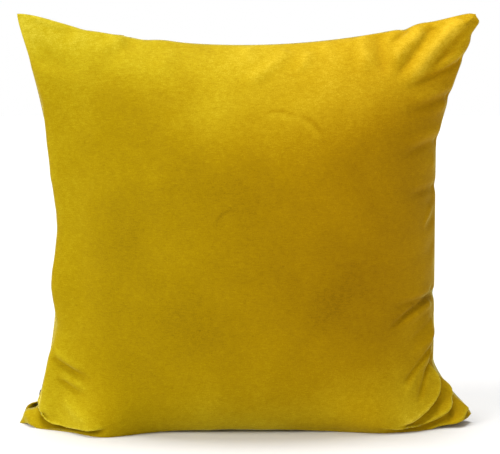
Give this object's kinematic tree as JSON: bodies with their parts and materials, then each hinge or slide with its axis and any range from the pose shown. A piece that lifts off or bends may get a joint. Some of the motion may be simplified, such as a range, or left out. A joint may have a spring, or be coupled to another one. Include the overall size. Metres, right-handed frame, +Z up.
{
  "type": "throw pillow",
  "caption": "Square velvet throw pillow with a zipped mustard cover over a soft fibre-filled insert; stands on its bottom edge as a sofa cushion.",
  "frame": {"origin": "middle of the flattened bottom edge that the pillow stands on, in the plane of its seam", "axes": "+X along the pillow's width, with the zip in the -X side; +Z up; -Y towards the front face"},
  "size_m": [0.4313, 0.172, 0.3896],
  "materials": {
    "velvet": "short-pile velvet",
    "thread": "satin",
    "zip_tape": "woven",
    "zip_teeth": "satin",
    "slider_metal": "gunmetal",
    "spring_steel": "bright",
    "insert_cloth": "matte",
    "insert_thread": "matte",
    "fibre_filling": "matte",
    "label_satin": "satin"
  },
  "bodies": {
    "pillow": {"cover_front": "velvet", "cover_back": "velvet", "cover_seam_thread": "thread", "cover_overlock_thread": "thread", "zip_tape_front": "zip_tape", "zip_tape_back": "zip_tape", "zip_teeth_front": "zip_teeth", "zip_teeth_back": "zip_teeth", "zip_top_stops": "slider_metal", "zip_bottom_stop": "zip_teeth", "zip_topstitch_front": "thread", "zip_topstitch_back": "thread", "insert_front": "insert_cloth", "insert_back": "insert_cloth", "insert_seam_thread": "insert_thread", "filling": "fibre_filling", "care_label": "label_satin"},
    "zip_slider": {"zip_slider_body": "slider_metal", "zip_slider_crown": "slider_metal", "zip_lock_spring": "spring_steel"},
    "zip_pull": {"zip_pull_tab": "slider_metal"}
  },
  "joints": [
    {"name": "zip_slider_travel", "type": "hinge", "parent": "pillow", "child": "zip_slider", "pos_m": [-0.7985, 0, 0.172], "axis": [0, -1, 0], "range_deg": [0, 27], "deforming": ["zip_teeth_front", "zip_teeth_back", "zip_tape_front", "zip_tape_back"]},
    {"name": "zip_pull_swing", "type": "hinge", "parent": "zip_slider", "child": "zip_pull", "pos_m": [-0.1967, 0, 0.02925], "axis": [0, -1, 0], "range_deg": [0, 150]}
  ]
}
